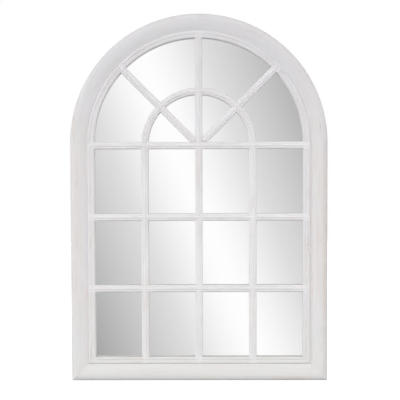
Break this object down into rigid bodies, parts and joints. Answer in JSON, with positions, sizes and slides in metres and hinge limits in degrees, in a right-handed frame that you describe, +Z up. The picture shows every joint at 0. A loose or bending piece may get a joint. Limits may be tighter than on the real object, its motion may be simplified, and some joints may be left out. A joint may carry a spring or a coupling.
{
  "type": "arched window mirror",
  "caption": "Arch-topped wall mirror made like a small window: a moulded painted wooden frame with glazing bars and a fanlight in front of one mirror sheet, hung on two swinging rings.",
  "frame": {"origin": "on the wall plane, midway between the two points where the raised hanging rings bear on their wall hooks", "axes": "+X to the viewer's right along the wall, +Y into the wall (the mirror faces -Y), +Z up"},
  "size_m": [0.7, 0.038, 1],
  "materials": {
    "painted_wood": "matte",
    "bare_wood": "matte",
    "mirror": "polished",
    "cardboard": "matte",
    "hardboard": "matte",
    "zinc_steel": "satin",
    "rubber": "matte"
  },
  "bodies": {
    "mirror": {"frame_bottom": "painted_wood", "frame_left": "painted_wood", "frame_right": "painted_wood", "frame_arch_left": "painted_wood", "frame_arch_right": "painted_wood", "border_bottom": "painted_wood", "border_left": "painted_wood", "border_right": "painted_wood", "border_arch_left": "painted_wood", "border_arch_right": "painted_wood", "upright_centre": "painted_wood", "upright_left": "painted_wood", "upright_right": "painted_wood", "transom": "painted_wood", "crossbar_1": "painted_wood", "crossbar_2": "painted_wood", "diagonal_left": "painted_wood", "diagonal_right": "painted_wood", "fan_arch_left": "painted_wood", "fan_arch_right": "painted_wood", "mirror_glass": "mirror", "cushion_sheet": "cardboard", "back_board": "hardboard", "corner_spline_left": "bare_wood", "corner_spline_right": "bare_wood", "springing_spline_left": "bare_wood", "springing_spline_right": "bare_wood", "crown_spline": "bare_wood", "board_screw_1": "zinc_steel", "board_screw_2": "zinc_steel", "board_screw_3": "zinc_steel", "board_screw_4": "zinc_steel", "board_screw_5": "zinc_steel", "board_screw_6": "zinc_steel", "board_screw_7": "zinc_steel", "board_screw_8": "zinc_steel", "board_screw_9": "zinc_steel", "board_screw_10": "zinc_steel", "board_screw_11": "zinc_steel", "board_screw_12": "zinc_steel", "board_screw_13": "zinc_steel", "board_screw_14": "zinc_steel", "hanger_strap_left": "zinc_steel", "hanger_strap_right": "zinc_steel", "strap_screw_left_1": "zinc_steel", "strap_screw_left_2": "zinc_steel", "strap_screw_right_1": "zinc_steel", "strap_screw_right_2": "zinc_steel", "wall_bumper_left": "rubber", "wall_bumper_right": "rubber"},
    "ring_left": {"hanger_ring_left": "zinc_steel"},
    "ring_right": {"hanger_ring_right": "zinc_steel"}
  },
  "joints": [
    {"name": "ring_left_swing", "type": "hinge", "parent": "mirror", "child": "ring_left", "pos_m": [-0.325, -0.0047, -0.0155], "axis": [1, 0, 0], "range_deg": [0, 180]},
    {"name": "ring_right_swing", "type": "hinge", "parent": "mirror", "child": "ring_right", "pos_m": [0.325, -0.0047, -0.0155], "axis": [1, 0, 0], "range_deg": [0, 180]}
  ]
}
